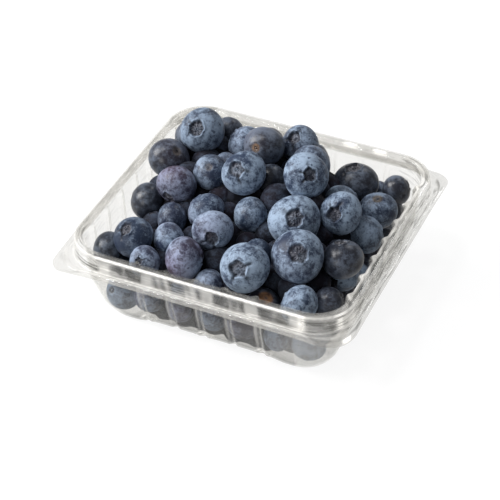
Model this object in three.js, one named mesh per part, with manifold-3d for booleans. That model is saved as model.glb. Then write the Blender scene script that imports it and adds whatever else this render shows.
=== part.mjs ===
// An open clear-plastic punnet heaped with blueberries.
// Units are millimetres, +Z is up, and the origin is the middle of the footprint on the table.
// X runs along the front of the tray and Y towards its back.

import * as THREE from 'three';
import { mergeVertices } from 'three/addons/utils/BufferGeometryUtils.js';
import Module from 'manifold-3d';

const wasm = await Module();
wasm.setup();

// ---------------------------------------------------------------- driving dimensions: tray

const RIM_LENGTH = 108; // along X, over the ledge
const RIM_WIDTH = 104; // along Y, over the ledge
const RIM_RADIUS = 15; // corner of the ledge's outer edge
const TRAY_HEIGHT = 35; // feet to the top of the ledge
const SHEET = 0.5; // thickness of the formed sheet
const LEDGE = 2.8; // width of the flat ledge
const SKIRT_DROP = 6.8; // ledge down to the flange
const FLANGE = 3.6; // flange past the ledge's outer edge
const FLANGE_RADIUS = 6; // the flange's corners are sharper than the rim's
const FLANGE_DROOP = 1.2; // the corner tabs of the flange hang a little

const BASE_INSET = 10.3; // foot of the wall in from the ledge's outer edge
const BASE_RADIUS = 13.6; // corner of the wall's foot
const BASE_LIFT = 2; // base panel above the four corner feet
const KNEE_HEIGHT = 17.4; // the wall is steep above here and leans in below
const KNEE_INSET = 4.5;
const WALL_RADIUS = 12; // corner of the wall at the knee and above
const FOOT_REACH = 33; // the feet are full size from here outwards
const LIFT_REACH = 20; // the lower edge of the wall is fully raised inside this

const RIB_PITCH = 11.5;
const RIB_DEPTH = 1.4; // ribs stand inwards from the wall
const RIB_FLANK = 2; // half the width of a rib
const RIBS_EACH_WAY = [2, 3, 3, 3]; // beside the middle one: front, right, back, left
const RIB_SHIFT = [-1.5, 0, 0, 0]; // middle rib off centre, on the same four sides
const FIXED_REACH = 25; // ribs nearer the middle than this stand in upright planes

const SLOT_RIBS = [-2, 0, 2]; // the ribs with a vent slot at the foot
const SLOT_WIDTH = 3.4;
const SLOT_HEIGHT = 2.4;
const SLOT_RISE = 0.3; // sill of a slot above the base panel
const SLOT_DEPTH = 5; // the cutter passes right through the foot of the wall
const SLOT_STEPS = 6;
const CORNER_STEPS = 5;

// ---------------------------------------------------------------- driving dimensions: berries

const GAP = 0.35; // between the berries and the tray
const CORE_BOTTOM = 8;
const CORE_SINK = 0.22; // core below the centres of the top berries, in diameters
const CORE_INSET = 8.5; // core in from the wall
const CORE_BLEND = 12; // square millimetres that soften the core's top between berries
const CORE_CELLS = 9; // squares of the core's top each way
const MIN_CORNER = 0.5; // least corner radius of the room a berry's centre moves in

// Top berries: x, y, z of the centre, diameter, and the way the crown faces:
// degrees round from +X, degrees up from level.
const TOP_BERRIES = [
  // left side, front to back
  [-43, -36, 26, 13, -40, 60],
  [-34, -33, 32, 15.5, -105, 55],
  [-26, -40, 28.5, 12, -110, 38],
  [-41, -8, 29, 15, 150, 20],
  [-26.5, -16.5, 31, 13, 60, -40],
  [-22.5, -27.5, 30.5, 13.5, 130, 10],
  [-30, -5, 38, 15.5, -90, -25],
  [-42, 11, 36, 16.5, 10, -20],
  [-41, 29, 35, 13, 170, 0],
  [-33, 24, 43, 18, -95, 40],
  [-27.5, 36.5, 36, 13, 80, 20],
  // middle, front to back
  [-12, -36.5, 32, 16, 20, 5],
  [-1, -39.5, 25, 13, -60, 0],
  [-7, -23, 36.5, 15.5, -70, 0],
  [-15, -11, 34, 15, 160, 30],
  [1, -7.5, 35, 14.5, 200, -20],
  [-20.5, 4.5, 40, 14, 95, -60],
  [-18, 13.5, 37, 12, 30, 20],
  [-6.5, 3.5, 44.5, 17, -105, 50],
  [0, 13, 36, 14, 0, 0],
  [-17, 28, 39, 14.5, 170, 25],
  [-11, 38.5, 33, 14, 120, 10],
  [7, 38.5, 31, 14, 60, -10],
  [-6, 20.5, 45.5, 16, 80, -32],
  [4, 32, 42, 15, -110, 55],
  [13, 21, 42.5, 15.5, 60, 15],
  [17, 6, 48.5, 17.5, -53, 36],
  // right side, front to back
  [20, -39, 23, 13, 90, -30],
  [34, -39.5, 28, 15, -160, 30],
  [42, -31, 25, 13, 30, 20],
  [12, -37, 36, 18.5, -92, 32],
  [11, -23, 30.5, 13, 100, 10],
  [27.5, -26, 38, 19.5, -63, 45],
  [19, -9, 39, 20, -65, 43],
  [40, -13.5, 25, 14, 60, 0],
  [41.5, -17.3, 34.6, 15.4, 140, 70],
  [33, 1, 40, 16.5, -95, 35],
  [43, 5, 30, 14.5, 100, -40],
  [28.5, 13.5, 34, 15, 45, 10],
  [42, 18, 32, 15, 70, -80],
  [46, 30, 22, 13, 0, 0],
  [28, 29, 33, 17.5, 96, 80],
  [43, 32.5, 32, 12, 200, 50],
];

// Lower berries are set down against the wall, layer by layer, wherever one fits.
const WALL_LAYERS = [10.2, 21];
const LOWER_DIAMETER = 14.2;
const FLOOR_GRID = 4; // berries each way on the base, inside the first layer
const FLOOR_PITCH = 14.3;
const SIZE_SPREAD = 1.6; // of the lower berries' diameters
const PLACE_STEP = 1.5; // between the places tried along a wall
const MIN_SPACING = 0.88; // a lower berry nearer than this share of touching doesn't fit

// ---------------------------------------------------------------- tray

// Stations of the sheet's upper face, from the middle of the base out to the flange's edge.
// inset is measured in from the ledge's outer edge. rib, lift and droop are shares of full depth.
const FLANGE_TOP = TRAY_HEIGHT - SKIRT_DROP;
const WALL_FOOT = { inset: BASE_INSET, z: SHEET + 1.9, radius: BASE_RADIUS };
const WALL_KNEE = { inset: KNEE_INSET, z: KNEE_HEIGHT, radius: WALL_RADIUS };
const WALL_TOP = { inset: LEDGE + 0.5, z: TRAY_HEIGHT - 1.1, radius: WALL_RADIUS };
const STATIONS = [
  { inset: 21, z: SHEET + BASE_LIFT, radius: 5, rib: 0, lift: 0, droop: 0 },
  { inset: 19, z: SHEET, radius: 6, rib: 0, lift: 1, droop: 0 },
  { inset: BASE_INSET + 1.5, z: SHEET, radius: BASE_RADIUS - 1, rib: 0.4, lift: 1, droop: 0 },
  { ...WALL_FOOT, rib: 0.7, lift: 0.5, droop: 0 },
  { ...WALL_KNEE, rib: 1, lift: 0, droop: 0 },
  { ...WALL_TOP, rib: 1, lift: 0, droop: 0 },
  { inset: LEDGE, z: TRAY_HEIGHT, radius: WALL_RADIUS + 0.4, rib: 0.9, lift: 0, droop: 0 },
  { inset: 0.6, z: TRAY_HEIGHT, radius: 14.5, rib: 0, lift: 0, droop: 0 },
  { inset: 0, z: TRAY_HEIGHT - 0.6, radius: RIM_RADIUS, rib: 0, lift: 0, droop: 0 },
  { inset: -0.4, z: FLANGE_TOP, radius: RIM_RADIUS + 0.4, rib: 0, lift: 0, droop: 0 },
  { inset: -FLANGE, z: FLANGE_TOP, radius: FLANGE_RADIUS, rib: 0, lift: 0, droop: 1 },
];

// Unit normal of a profile segment on the lower side of the sheet, as [outwards, up].
function lowerNormal(from, to) {
  const out = from.inset - to.inset;
  const up = to.z - from.z;
  const length = Math.hypot(out, up);
  return [up / length, -out / length];
}

// The lower face: each station moved one sheet thickness along its mitred normal.
function lowerFace(stations) {
  return stations.map((station, i) => {
    const before = i > 0 ? lowerNormal(stations[i - 1], station) : [0, -1];
    const after = i < stations.length - 1 ? lowerNormal(station, stations[i + 1]) : [0, -1];
    const mitre = SHEET / (1 + before[0] * after[0] + before[1] * after[1]);
    const out = (before[0] + after[0]) * mitre;
    const up = (before[1] + after[1]) * mitre;
    return { ...station, inset: station.inset - out, z: station.z + up, radius: station.radius + out };
  });
}

const UPWARDS = new THREE.Vector3(0, 0, 1);

// Places round the outline, the same for every station: along a side, or turning a corner.
function outlinePlaces() {
  const places = [];
  for (let side = 0; side < 4; side += 1) {
    const end = (side % 2 === 0 ? RIM_LENGTH : RIM_WIDTH) / 2 - RIM_RADIUS;
    const shift = RIB_SHIFT[side];
    places.push({ side, end, along: -end, turn: 0, crest: false });
    for (let rib = -RIBS_EACH_WAY[side]; rib <= RIBS_EACH_WAY[side]; rib += 1) {
      const crest = shift + rib * RIB_PITCH;
      for (const step of [-RIB_FLANK, 0, RIB_FLANK]) {
        places.push({ side, end, along: crest + step, turn: 0, crest: step === 0 });
      }
    }
    for (let step = 0; step < CORNER_STEPS; step += 1) {
      places.push({ side, end, along: end, turn: (step / CORNER_STEPS) * (Math.PI / 2), crest: false });
    }
  }
  return places;
}

// 1 along the middle of a side, falling smoothly to 0 at the feet.
function liftShape(place) {
  const t = THREE.MathUtils.clamp((FOOT_REACH - Math.abs(place.along)) / (FOOT_REACH - LIFT_REACH), 0, 1);
  return place.turn > 0 ? 0 : t * t * (3 - 2 * t);
}

// A point of a station at a place on the outline.
function stationPoint(station, place) {
  const halves = [RIM_LENGTH / 2 - station.inset, RIM_WIDTH / 2 - station.inset];
  const halfAlong = halves[place.side % 2];
  const halfOut = halves[(place.side + 1) % 2];
  const straight = halfAlong - station.radius;
  let along = place.along;
  if (Math.abs(along) > FIXED_REACH) {
    const share = (Math.abs(along) - FIXED_REACH) / (place.end - FIXED_REACH);
    along = Math.sign(along) * (FIXED_REACH + share * (straight - FIXED_REACH));
  }
  along += station.radius * Math.sin(place.turn);
  const rib = place.crest ? RIB_DEPTH * station.rib : 0;
  const out = halfOut - station.radius * (1 - Math.cos(place.turn)) - rib;
  const sag = station.droop * FLANGE_DROOP * Math.sin(2 * place.turn);
  const z = station.z + BASE_LIFT * station.lift * liftShape(place) - sag;
  return new THREE.Vector3(along, -out, z).applyAxisAngle(UPWARDS, (place.side * Math.PI) / 2);
}

// The closed sheet: upper face outwards from a pole on the base, round the edge, lower face back.
function sheetGeometry() {
  const places = outlinePlaces();
  const rows = [...STATIONS, ...lowerFace(STATIONS).reverse()];
  const points = rows.flatMap((station) => places.map((place) => stationPoint(station, place)));
  const topPole = points.length;
  points.push(new THREE.Vector3(0, 0, STATIONS[0].z), new THREE.Vector3(0, 0, STATIONS[0].z - SHEET));
  const faces = [];
  for (let i = 0; i < places.length; i += 1) {
    const next = (i + 1) % places.length;
    faces.push(topPole, i, next);
    for (let row = 0; row + 1 < rows.length; row += 1) {
      const here = row * places.length;
      const outer = here + places.length;
      faces.push(here + i, outer + i, outer + next, here + i, outer + next, here + next);
    }
    const last = (rows.length - 1) * places.length;
    faces.push(last + i, topPole + 1, last + next);
  }
  const geometry = new THREE.BufferGeometry().setFromPoints(points);
  geometry.setIndex(faces);
  return geometry;
}

// A half-round bar that cuts one vent slot: flat side down on the base, arched above.
function slotCutter(side, along) {
  const half = SLOT_WIDTH / 2;
  const arch = new THREE.Shape();
  arch.moveTo(-half, 0);
  arch.lineTo(half, 0);
  arch.absellipse(0, 0, half, SLOT_HEIGHT, 0, Math.PI, false, 0);
  const size = { depth: SLOT_DEPTH, bevelEnabled: false, curveSegments: SLOT_STEPS };
  const bar = new THREE.ExtrudeGeometry(arch, size);
  const out = (side % 2 === 0 ? RIM_WIDTH : RIM_LENGTH) / 2 - BASE_INSET - SLOT_DEPTH / 2;
  bar.rotateX(Math.PI / 2);
  bar.translate(along, -out, SHEET + BASE_LIFT + SLOT_RISE);
  bar.rotateZ((side * Math.PI) / 2);
  return bar;
}

function trayGeometry() {
  let tray = solid(sheetGeometry());
  for (let side = 0; side < 4; side += 1) {
    for (const rib of SLOT_RIBS) {
      tray = tray.subtract(solid(slotCutter(side, RIB_SHIFT[side] + rib * RIB_PITCH)));
    }
  }
  return geometryOf(tray);
}

// ---------------------------------------------------------------- berries

const DEG = Math.PI / 180;
const GOLDEN = 0.618034;

// An even scatter of numbers from -0.5 to 0.5.
const scatter = (index) => ((index * GOLDEN) % 1) - 0.5;

// How far in from the ledge's edge a ball's centre stays, at a height, to clear both wall leans.
function clearInset(z, radius) {
  const leans = [[WALL_FOOT, WALL_KNEE], [WALL_KNEE, WALL_TOP]];
  return Math.max(...leans.map(([low, high]) => {
    const slope = (low.inset - high.inset) / (high.z - low.z);
    return low.inset - slope * (z - low.z) + radius * Math.hypot(1, slope);
  }));
}

// Moves a berry in until it clears the walls, their ribs and the rounded corners.
function keepInside(berry) {
  const inset = clearInset(berry.z, berry.diameter / 2 + GAP);
  const halfX = RIM_LENGTH / 2 - inset;
  const halfY = RIM_WIDTH / 2 - inset;
  const corner = Math.max(BASE_RADIUS - (inset - clearInset(berry.z, 0)), MIN_CORNER);
  const beyondX = Math.max(Math.abs(berry.x) - (halfX - corner), 0);
  const beyondY = Math.max(Math.abs(berry.y) - (halfY - corner), 0);
  const scale = Math.min(1, corner / Math.max(Math.hypot(beyondX, beyondY), corner));
  const x = Math.min(Math.abs(berry.x), halfX - corner) + beyondX * scale;
  const y = Math.min(Math.abs(berry.y), halfY - corner) + beyondY * scale;
  return {
    ...berry,
    x: Math.sign(berry.x) * Math.min(x, halfX - RIB_DEPTH),
    y: Math.sign(berry.y) * Math.min(y, halfY - RIB_DEPTH),
  };
}

function topBerries() {
  return TOP_BERRIES.map(([x, y, z, diameter, azimuth, elevation]) =>
    keepInside({ x, y, z, diameter, azimuth, elevation, shown: true }));
}

// The lower berries: rings against the wall and a grid on the base, where there is room.
function lowerBerries(placed) {
  const berries = [];
  const add = (x, y, z) => {
    const index = berries.length;
    const diameter = LOWER_DIAMETER + SIZE_SPREAD * scatter(index + 1);
    const floor = SHEET + BASE_LIFT + GAP + diameter / 2;
    const azimuth = 360 * scatter(3 * index + 1);
    const elevation = 120 * scatter(5 * index + 2);
    const berry = keepInside({ x, y, z: Math.max(z, floor), diameter, azimuth, elevation, shown: false });
    const free = [...placed, ...berries].every((other) => {
      const touching = (other.diameter + diameter) / 2;
      return Math.hypot(other.x - berry.x, other.y - berry.y, other.z - berry.z) > MIN_SPACING * touching;
    });
    if (free) berries.push(berry);
  };
  for (const z of WALL_LAYERS) {
    const inset = clearInset(z, LOWER_DIAMETER / 2 + GAP) + RIB_DEPTH;
    const halves = [RIM_LENGTH / 2 - inset, RIM_WIDTH / 2 - inset];
    for (let side = 0; side < 4; side += 1) {
      const out = halves[(side + 1) % 2];
      for (let along = -halves[side % 2]; along < halves[side % 2]; along += PLACE_STEP) {
        const [x, y] = [[along, -out], [out, along], [-along, out], [-out, -along]][side];
        add(x, y, z);
      }
    }
  }
  const middle = (FLOOR_GRID - 1) / 2;
  for (let i = 0; i < FLOOR_GRID; i += 1) {
    for (let j = 0; j < FLOOR_GRID; j += 1) {
      add((i - middle) * FLOOR_PITCH, (j - middle) * FLOOR_PITCH, 0);
    }
  }
  return berries;
}

// Half outline of a berry of diameter 2, stem end first: across, up. The crown is a dented ring.
const CROWN_PROFILE = [[0, -0.84], [0.74, -0.62], [1, 0], [0.76, 0.62], [0.36, 0.9], [0, 0.62]];
const PLAIN_PROFILE = [[0, -0.86], [0.82, -0.54], [1, 0], [0.82, 0.54], [0, 0.86]];
const SHOWN_SIDES = 10;
const LOWER_SIDES = 8;

function berryGeometry({ x, y, z, diameter, azimuth, elevation, shown }) {
  const profile = (shown ? CROWN_PROFILE : PLAIN_PROFILE).map(([across, up]) => {
    return new THREE.Vector2((across * diameter) / 2, (up * diameter) / 2);
  });
  const berry = new THREE.LatheGeometry(profile, shown ? SHOWN_SIDES : LOWER_SIDES);
  berry.rotateZ((elevation - 90) * DEG);
  berry.rotateX(Math.PI / 2);
  berry.rotateZ(azimuth * DEG);
  return berry.translate(x, y, z);
}

// Height of the core: just under the centres of the nearest top berries.
function coreTop(x, y, berries) {
  let sum = 0;
  let weights = 0;
  for (const berry of berries) {
    const weight = 1 / ((berry.x - x) ** 2 + (berry.y - y) ** 2 + CORE_BLEND) ** 2;
    sum += weight * (berry.z - CORE_SINK * berry.diameter);
    weights += weight;
  }
  return sum / weights;
}

// The solid middle of the heap: upright sides, a flat bottom and an uneven top.
function coreGeometry(berries) {
  const inset = clearInset(CORE_BOTTOM, CORE_INSET);
  const length = RIM_LENGTH - 2 * inset;
  const width = RIM_WIDTH - 2 * inset;
  const core = new THREE.BoxGeometry(length, width, 2, CORE_CELLS, CORE_CELLS, 1);
  const position = core.attributes.position;
  for (let i = 0; i < position.count; i += 1) {
    const x = position.getX(i);
    const y = position.getY(i);
    position.setZ(i, position.getZ(i) > 0 ? coreTop(x, y, berries) : CORE_BOTTOM);
  }
  return core;
}

function heapGeometry() {
  const top = topBerries();
  let heap = solid(coreGeometry(top));
  for (const berry of [...top, ...lowerBerries(top)]) heap = heap.add(solid(berryGeometry(berry)));
  const bodies = heap.decompose().sort((a, b) => b.volume() - a.volume());
  return geometryOf(bodies[0]);
}

// ---------------------------------------------------------------- solids

// A closed geometry as a solid: vertices merged, and faces with no area left out.
function solid(geometry) {
  const bare = geometry.clone();
  bare.deleteAttribute('normal');
  bare.deleteAttribute('uv');
  const merged = mergeVertices(bare, 1e-4);
  const corners = merged.index.array;
  const faces = [];
  for (let i = 0; i < corners.length; i += 3) {
    const [a, b, c] = corners.slice(i, i + 3);
    if (a !== b && b !== c && c !== a) faces.push(a, b, c);
  }
  return new wasm.Manifold(new wasm.Mesh({
    numProp: 3,
    vertProperties: new Float32Array(merged.attributes.position.array),
    triVerts: new Uint32Array(faces),
  }));
}

function geometryOf(manifold) {
  const mesh = manifold.getMesh();
  const geometry = new THREE.BufferGeometry();
  geometry.setAttribute('position', new THREE.BufferAttribute(mesh.vertProperties, 3));
  geometry.setIndex(new THREE.BufferAttribute(mesh.triVerts, 1));
  geometry.computeVertexNormals();
  return geometry;
}

// ---------------------------------------------------------------- the punnet

const clearPlastic = new THREE.MeshStandardMaterial({
  color: 0xe4e5e2,
  roughness: 0.08,
  metalness: 0,
  transparent: true,
  opacity: 0.3,
});
const berrySkin = new THREE.MeshStandardMaterial({ color: 0x3f4a66, roughness: 0.6, metalness: 0 });

const tray = new THREE.Mesh(trayGeometry(), clearPlastic);
tray.name = 'tray';

const berries = new THREE.Mesh(heapGeometry(), berrySkin);
berries.name = 'berries';

const punnet = new THREE.Group();
punnet.add(tray, berries);

export default punnet;
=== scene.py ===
"""An open punnet of clear formed plastic, heaped with blueberries.

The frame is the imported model's: metres, X along the front of the tray, Y towards its back, Z up,
and the origin in the middle of the footprint. Sizes in the classes below are in millimetres.
"""

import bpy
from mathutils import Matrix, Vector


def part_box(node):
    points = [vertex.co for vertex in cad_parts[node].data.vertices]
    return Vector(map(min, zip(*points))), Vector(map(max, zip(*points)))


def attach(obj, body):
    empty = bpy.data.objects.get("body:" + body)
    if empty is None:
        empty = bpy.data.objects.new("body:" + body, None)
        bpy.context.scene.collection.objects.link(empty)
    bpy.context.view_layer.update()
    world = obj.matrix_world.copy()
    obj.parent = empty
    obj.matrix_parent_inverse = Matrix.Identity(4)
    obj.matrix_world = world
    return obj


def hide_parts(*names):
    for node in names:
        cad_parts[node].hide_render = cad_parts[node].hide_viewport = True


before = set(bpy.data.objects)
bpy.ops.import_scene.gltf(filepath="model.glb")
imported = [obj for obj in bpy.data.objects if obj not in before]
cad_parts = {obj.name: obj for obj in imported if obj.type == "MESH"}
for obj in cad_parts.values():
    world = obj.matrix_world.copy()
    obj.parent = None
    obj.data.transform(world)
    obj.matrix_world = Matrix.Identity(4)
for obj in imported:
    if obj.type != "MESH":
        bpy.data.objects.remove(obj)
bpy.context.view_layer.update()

import logging
import math
from dataclasses import astuple, dataclass, field
from enum import Enum
from itertools import product
from typing import Any, Optional, Union

import bpy
import numpy as np
from mathutils import Vector

LOG = logging.getLogger("punnet")
MM = 0.001


# ---------------------------------------------------------------- shader maths


class Socket:
    """A shader value that Python operators add Math nodes to."""

    def __init__(self, finish: "NodeFinish", socket: bpy.types.NodeSocket) -> None:
        """Wraps an output socket.

        Args:
            finish: the node tree that the socket is in.
            socket: the output socket.
        """
        self.finish = finish
        self.socket = socket

    def math(self, operation: str, *others: "Number", clamp: bool = False) -> "Socket":
        """Adds a Math node that takes this value first.

        Args:
            operation: the Math node's operation.
            others: the values or sockets that follow.
            clamp: True to keep the result from 0 to 1.

        Returns:
            The node's result.
        """
        return self.finish.maths(operation, self, *others, clamp=clamp)

    def __add__(self, other: "Number") -> "Socket":
        """This value plus another."""
        return self.math("ADD", other)

    def __radd__(self, other: float) -> "Socket":
        """A number plus this value."""
        return self.finish.maths("ADD", other, self)

    def __sub__(self, other: "Number") -> "Socket":
        """This value less another."""
        return self.math("SUBTRACT", other)

    def __rsub__(self, other: float) -> "Socket":
        """A number less this value."""
        return self.finish.maths("SUBTRACT", other, self)

    def __mul__(self, other: "Number") -> "Socket":
        """This value times another."""
        return self.math("MULTIPLY", other)

    def __rmul__(self, other: float) -> "Socket":
        """A number times this value."""
        return self.finish.maths("MULTIPLY", other, self)

    def __pow__(self, other: "Number") -> "Socket":
        """This value to a power."""
        return self.math("POWER", other)

    def held(self) -> "Socket":
        """This value kept from 0 to 1."""
        return self.math("ADD", 0.0, clamp=True)

    def over(self, low: float, high: float) -> "Socket":
        """Rises smoothly from 0 at low to 1 at high.

        Args:
            low: the value that gives 0.
            high: the value that gives 1.

        Returns:
            The smooth step.
        """
        inputs = {"Value": self, "From Min": low, "From Max": high}
        node = self.finish.node("ShaderNodeMapRange", {"interpolation_type": "SMOOTHSTEP"}, inputs)
        return Socket(self.finish, node.outputs["Result"])


Number = Union[float, Socket]
Colour = tuple[float, float, float]
Inputs = dict[Union[str, int], Any]


class NodeFinish:
    """A material whose nodes are made by one method."""

    def __init__(self, name: str) -> None:
        """Starts an empty node tree.

        Args:
            name: the material's name.
        """
        self.material = bpy.data.materials.new(name)
        self.material.use_nodes = True
        self.tree = self.material.node_tree
        self.tree.nodes.clear()

    def node(self, kind: str, settings: dict[str, Any], inputs: Inputs) -> bpy.types.Node:
        """Adds a node.

        Args:
            kind: the node's type name.
            settings: its properties, which are set first.
            inputs: values or links by socket name or number.

        Returns:
            The new node.
        """
        made = self.tree.nodes.new(kind)
        for key, value in settings.items():
            setattr(made, key, value)
        for key, value in inputs.items():
            if isinstance(value, Socket):
                value = value.socket
            if isinstance(value, bpy.types.NodeSocket):
                self.tree.links.new(value, made.inputs[key])
            elif isinstance(value, tuple) and made.inputs[key].type == "RGBA":
                made.inputs[key].default_value = (*value, 1.0)
            else:
                made.inputs[key].default_value = value
        return made

    def maths(self, operation: str, *values: Number, clamp: bool = False) -> Socket:
        """Adds a Math node.

        Args:
            operation: the node's operation.
            values: its inputs in order.
            clamp: True to keep the result from 0 to 1.

        Returns:
            The node's result.
        """
        settings = {"operation": operation, "use_clamp": clamp}
        node = self.node("ShaderNodeMath", settings, dict(enumerate(values)))
        return Socket(self, node.outputs[0])

    def place(self) -> bpy.types.NodeSocket:
        """The point on the piece, in its own metres."""
        return self.node("ShaderNodeTexCoord", {}, {}).outputs["Object"]

    def attribute(self, name: str) -> Socket:
        """A number that the mesh carries at each vertex."""
        node = self.node("ShaderNodeAttribute", {"attribute_name": name}, {})
        return Socket(self, node.outputs["Fac"])

    def noise(
        self, feature_mm: float, detail: float = 2.0, rough: float = 0.5, twist: float = 0.0
    ) -> Socket:
        """Smooth noise from 0 to 1 with features of a given size.

        Args:
            feature_mm: the size of the features in millimetres.
            detail: octaves of finer noise.
            rough: how strong the finer octaves are.
            twist: distortion.

        Returns:
            The noise's value.
        """
        inputs = {
            "Vector": self.place(),
            "Scale": 1.0 / (feature_mm * MM),
            "Detail": detail,
            "Roughness": rough,
            "Distortion": twist,
        }
        return Socket(self, self.node("ShaderNodeTexNoise", {}, inputs).outputs["Fac"])

    def lines(self, across: Socket, along_mm: float, across_mm: float) -> Socket:
        """Noise from 0 to 1 that is drawn out into lines.

        Args:
            across: the distance across the lines, in millimetres.
            along_mm: how long the lines are.
            across_mm: how wide they are.

        Returns:
            The noise's value.
        """
        place = self.node("ShaderNodeSeparateXYZ", {}, {0: self.place()})
        x, y = (Socket(self, place.outputs[i]) * (1.0 / (along_mm * MM)) for i in (0, 1))
        vector = self.node("ShaderNodeCombineXYZ", {}, {0: x, 1: y, 2: across * (1.0 / across_mm)})
        inputs = {"Vector": vector.outputs[0], "Scale": 1.0, "Detail": 1.5, "Roughness": 0.5}
        return Socket(self, self.node("ShaderNodeTexNoise", {}, inputs).outputs["Fac"])

    def blend(self, share: Number, first: Any, second: Any) -> bpy.types.NodeSocket:
        """Mixes two colours.

        Args:
            share: 0 for the first and 1 for the second.
            first: a colour or a colour socket.
            second: a colour or a colour socket.

        Returns:
            The mixed colour's socket.
        """
        settings = {"data_type": "RGBA", "blend_type": "MIX"}
        node = self.node("ShaderNodeMix", settings, {0: share, 6: first, 7: second})
        return node.outputs[2]

    def bump(self, height: Socket, depth_mm: float, strength: float = 1.0) -> bpy.types.NodeSocket:
        """A normal for fine relief.

        Args:
            height: the relief, from 0 to 1.
            depth_mm: how deep it is.
            strength: how much of it shows.

        Returns:
            The normal's socket.
        """
        inputs = {"Height": height, "Distance": depth_mm * MM, "Strength": strength}
        return self.node("ShaderNodeBump", {}, inputs).outputs["Normal"]

    def shader(self, kind: str, inputs: Inputs) -> bpy.types.NodeSocket:
        """Adds a shader node and returns its output."""
        return self.node(kind, {}, inputs).outputs[0]

    def layered(
        self, share: Number, first: bpy.types.NodeSocket, second: bpy.types.NodeSocket
    ) -> bpy.types.NodeSocket:
        """Mixes two shaders.

        Args:
            share: 0 for the first and 1 for the second.
            first: a shader's output.
            second: a shader's output.

        Returns:
            The mixed shader's output.
        """
        return self.shader("ShaderNodeMixShader", {0: share, 1: first, 2: second})

    def show(self, shader: bpy.types.NodeSocket) -> bpy.types.Material:
        """Sends a shader to the output and returns the material."""
        self.node("ShaderNodeOutputMaterial", {}, {"Surface": shader})
        return self.material


# ---------------------------------------------------------------- meshes


def grid_faces(rows: int, columns: int) -> np.ndarray:
    """Quads of a grid whose columns close on themselves.

    Corner a of quad (r, c) is vertex r * columns + c, and the next ones go round by one column and
    one row.

    Args:
        rows: rows of vertices.
        columns: vertices in a row.

    Returns:
        An array of quads.
    """
    r, c = np.meshgrid(np.arange(rows - 1), np.arange(columns), indexing="ij")
    after = (c + 1) % columns
    low, high = r * columns, (r + 1) * columns
    return np.stack([low + c, low + after, high + after, high + c], -1).reshape(-1, 4)


def fan_faces(pole: int, first: int, columns: int, turned: bool) -> np.ndarray:
    """Triangles from a pole to a closed row.

    Args:
        pole: the pole's vertex.
        first: the row's first vertex.
        columns: vertices in the row.
        turned: True to face the other way.

    Returns:
        An array of triangles.
    """
    c = np.arange(columns)
    after = first + (c + 1) % columns
    pair = (after, first + c) if turned else (first + c, after)
    return np.stack([np.full(columns, pole), *pair], -1)


def cap_faces(rows: int, columns: int) -> np.ndarray:
    """Triangles that close both ends of a grid, from two poles that come after its vertices.

    Args:
        rows: rows of vertices.
        columns: vertices in a row.

    Returns:
        An array of triangles.
    """
    first, last = rows * columns, (rows - 1) * columns
    return np.concatenate([
        fan_faces(first, 0, columns, False),
        fan_faces(first + 1, last, columns, True),
    ])


def quarter_turned(points: np.ndarray, side: Any) -> np.ndarray:
    """Points of the front turned about Z to their own sides.

    Args:
        points: an array of points.
        side: the side or sides, from 0 to 3 anticlockwise from the front.

    Returns:
        The turned points.
    """
    cos, sin = np.array([1, 0, -1, 0])[side], np.array([0, 1, 0, -1])[side]
    x, y, z = points[..., 0], points[..., 1], points[..., 2]
    return np.stack([x * cos - y * sin, x * sin + y * cos, z], -1)


def smooth_mesh(
    name: str,
    points: np.ndarray,
    quads: np.ndarray,
    triangles: np.ndarray,
    marks: Optional[dict[str, np.ndarray]] = None,
) -> bpy.types.Mesh:
    """Makes a smooth-shaded mesh from whole arrays.

    Args:
        name: the mesh's name.
        points: vertices in millimetres.
        quads: faces of four.
        triangles: faces of three.
        marks: numbers to keep at each vertex, by attribute name.

    Returns:
        The mesh, in metres.
    """
    mesh = bpy.data.meshes.new(name)
    corners = np.concatenate([quads.ravel(), triangles.ravel()]).astype(np.int32)
    sizes = np.concatenate([np.full(len(quads), 4), np.full(len(triangles), 3)]).astype(np.int32)
    mesh.vertices.add(len(points))
    mesh.vertices.foreach_set("co", (points * MM).astype(np.float32).ravel())
    mesh.loops.add(len(corners))
    mesh.loops.foreach_set("vertex_index", corners)
    mesh.polygons.add(len(sizes))
    mesh.polygons.foreach_set("loop_start", (np.cumsum(sizes) - sizes).astype(np.int32))
    mesh.polygons.foreach_set("use_smooth", np.ones(len(sizes), dtype=bool))
    for key, values in (marks or {}).items():
        mark = mesh.attributes.new(key, "FLOAT", "POINT")
        mark.data.foreach_set("value", np.asarray(values, dtype=np.float32).ravel())
    mesh.update(calc_edges=True)
    mesh.validate()
    return mesh


def add_piece(mesh: bpy.types.Mesh, material: bpy.types.Material, node: str) -> None:
    """Puts a mesh in the scene in place of a CAD node.

    Args:
        mesh: the piece's mesh.
        material: its finish.
        node: the CAD node that it stands for.
    """
    piece = bpy.data.objects.new(mesh.name, mesh)
    bpy.context.scene.collection.objects.link(piece)
    mesh.materials.clear()
    mesh.materials.append(material)
    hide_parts(node)
    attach(piece, "root")
    LOG.info("%s: %d vertices, %d faces", mesh.name, len(mesh.vertices), len(mesh.polygons))


# ---------------------------------------------------------------- the tray


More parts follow.
